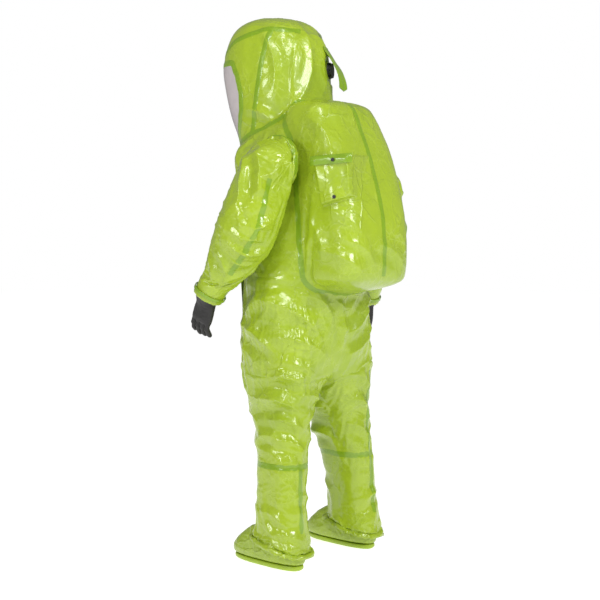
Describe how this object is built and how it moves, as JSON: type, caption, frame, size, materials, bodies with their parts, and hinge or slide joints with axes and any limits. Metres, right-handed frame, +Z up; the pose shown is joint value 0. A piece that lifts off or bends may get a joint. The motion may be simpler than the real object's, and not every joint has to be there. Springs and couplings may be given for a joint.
{
  "type": "chemical protective suit",
  "caption": "Fully encapsulating chemical protective suit, standing as worn, with visor hood, breathing-set bulge, gloves, sock boots and a covered front zip.",
  "frame": {"origin": "on the floor, under the middle of the whole suit's box", "axes": "+Z up, the wearer faces -Y, the wearer's left side is +X"},
  "size_m": [0.8704, 0.7008, 1.935],
  "materials": {
    "lime_laminate": "glossy lime coated laminate, creased",
    "green_trim": "glossy welded tape and trim in a deeper green",
    "lens": "clear flexible sheet, slightly grey",
    "glove": "black textured rubber",
    "liner": "pale barrier film liner",
    "valve_rubber": "grey soft rubber",
    "black_plastic": "black moulded plastic",
    "metal": "brushed metal",
    "webbing": "dark woven tape",
    "sole": "lime coated sole sheet with a fine grain"
  },
  "bodies": {
    "suit": {"back_bulge_shell": "lime_laminate", "belt_buckle": "black_plastic", "bulge_valve_body": "black_plastic", "bulge_valve_cap": "black_plastic", "hip_shell": "lime_laminate", "hood_cover_hem": "green_trim", "hood_shell": "lime_laminate", "hood_valve_body": "black_plastic", "hood_valve_cap": "black_plastic", "left_boot_sole": "sole", "left_sock_boot": "lime_laminate", "left_splash_cuff": "lime_laminate", "left_trouser_leg": "lime_laminate", "left_zip_tape": "webbing", "loop_strip": "webbing", "lower_zip_stop": "metal", "right_boot_sole": "sole", "right_sock_boot": "lime_laminate", "right_splash_cuff": "lime_laminate", "right_trouser_leg": "lime_laminate", "right_zip_tape": "webbing", "storm_flap_seam": "green_trim", "torso_shell": "lime_laminate", "upper_zip_stop": "metal", "valve_pocket": "lime_laminate", "visor_frame": "green_trim", "visor_lens": "lens", "waist_belt": "webbing", "zip_chain": "metal"},
    "left_upper_arm": {"left_upper_sleeve": "lime_laminate", "left_elbow_gusset": "lime_laminate"},
    "left_forearm": {"left_lower_sleeve": "lime_laminate", "left_clamp_band": "metal"},
    "left_hand": {"left_cuff_ring": "black_plastic", "left_outer_glove": "glove", "left_glove_liner": "liner"},
    "right_upper_arm": {"right_upper_sleeve": "lime_laminate", "right_elbow_gusset": "lime_laminate"},
    "right_forearm": {"right_lower_sleeve": "lime_laminate", "right_clamp_band": "metal"},
    "right_hand": {"right_cuff_ring": "black_plastic", "right_outer_glove": "glove", "right_glove_liner": "liner"},
    "zip_runner": {"zip_slider": "metal"},
    "zip_tab": {"zip_pull": "metal"},
    "entry_flap": {"storm_flap": "green_trim"},
    "hood_rain_cover": {"hood_valve_cover": "green_trim"},
    "pocket_lid": {"valve_pocket_flap": "green_trim", "pocket_snap": "black_plastic"},
    "hood_disc": {"hood_valve_disc": "valve_rubber"},
    "bulge_disc": {"bulge_valve_disc": "valve_rubber"}
  },
  "joints": [
    {"name": "left_shoulder_swing", "type": "hinge", "parent": "suit", "child": "left_upper_arm", "pos_m": [0.21809, 0.0584, 1.392], "axis": [-1, 0, 0], "range_deg": [-30, 100]},
    {"name": "left_elbow_bend", "type": "hinge", "parent": "left_upper_arm", "child": "left_forearm", "pos_m": [0.32584, -0.03423, 1.20992], "axis": [-0.9912, 0, -0.1322], "range_deg": [0, 45], "deforming": ["left_elbow_gusset"]},
    {"name": "left_cuff_turn", "type": "hinge", "parent": "left_forearm", "child": "left_hand", "pos_m": [0.36209, -0.1376, 0.938], "axis": [0.1115, -0.5367, -0.8364], "range_deg": [-30, 30]},
    {"name": "right_shoulder_swing", "type": "hinge", "parent": "suit", "child": "right_upper_arm", "pos_m": [-0.21791, 0.0584, 1.392], "axis": [-1, 0, 0], "range_deg": [-17, 113]},
    {"name": "right_elbow_bend", "type": "hinge", "parent": "right_upper_arm", "child": "right_forearm", "pos_m": [-0.32753, 0.00908, 1.19398], "axis": [-0.993, 0, 0.1183], "range_deg": [0, 45], "deforming": ["right_elbow_gusset"]},
    {"name": "right_cuff_turn", "type": "hinge", "parent": "right_forearm", "child": "right_hand", "pos_m": [-0.36191, -0.03045, 0.90555], "axis": [-0.1115, -0.3348, -0.9357], "range_deg": [-30, 30]},
    {"name": "zip_travel", "type": "slide", "parent": "suit", "child": "zip_runner", "axis": [0, 0.0854, -0.9963], "range_m": [0, 0.5]},
    {"name": "zip_tab_swing", "type": "hinge", "parent": "zip_runner", "child": "zip_tab", "pos_m": [0.12098, -0.22137, 1.30023], "axis": [-0.9581, -0.2853, -0.0245], "range_deg": [0, 15]},
    {"name": "storm_flap_swing", "type": "hinge", "parent": "suit", "child": "entry_flap", "pos_m": [0.07545, -0.20768, 1.04347], "axis": [0, 0.0854, -0.9963], "range_deg": [0, 140]},
    {"name": "hood_cover_swing", "type": "hinge", "parent": "suit", "child": "hood_rain_cover", "pos_m": [-0.08431, 0.01105, 1.812], "axis": [0.891, 0.454, 0], "range_deg": [0, 45]},
    {"name": "pocket_flap_swing", "type": "hinge", "parent": "suit", "child": "pocket_lid", "pos_m": [0.17303, 0.26574, 1.4165], "axis": [0.342, -0.9397, 0], "range_deg": [0, 80]},
    {"name": "hood_valve_lift", "type": "slide", "parent": "suit", "child": "hood_disc", "axis": [-0.454, 0.891, 0], "range_m": [0, 0.002], "stiffness_N_per_m": 20},
    {"name": "bulge_valve_lift", "type": "slide", "parent": "suit", "child": "bulge_disc", "axis": [0.9397, 0.342, 0], "range_m": [0, 0.002], "stiffness_N_per_m": 20}
  ]
}
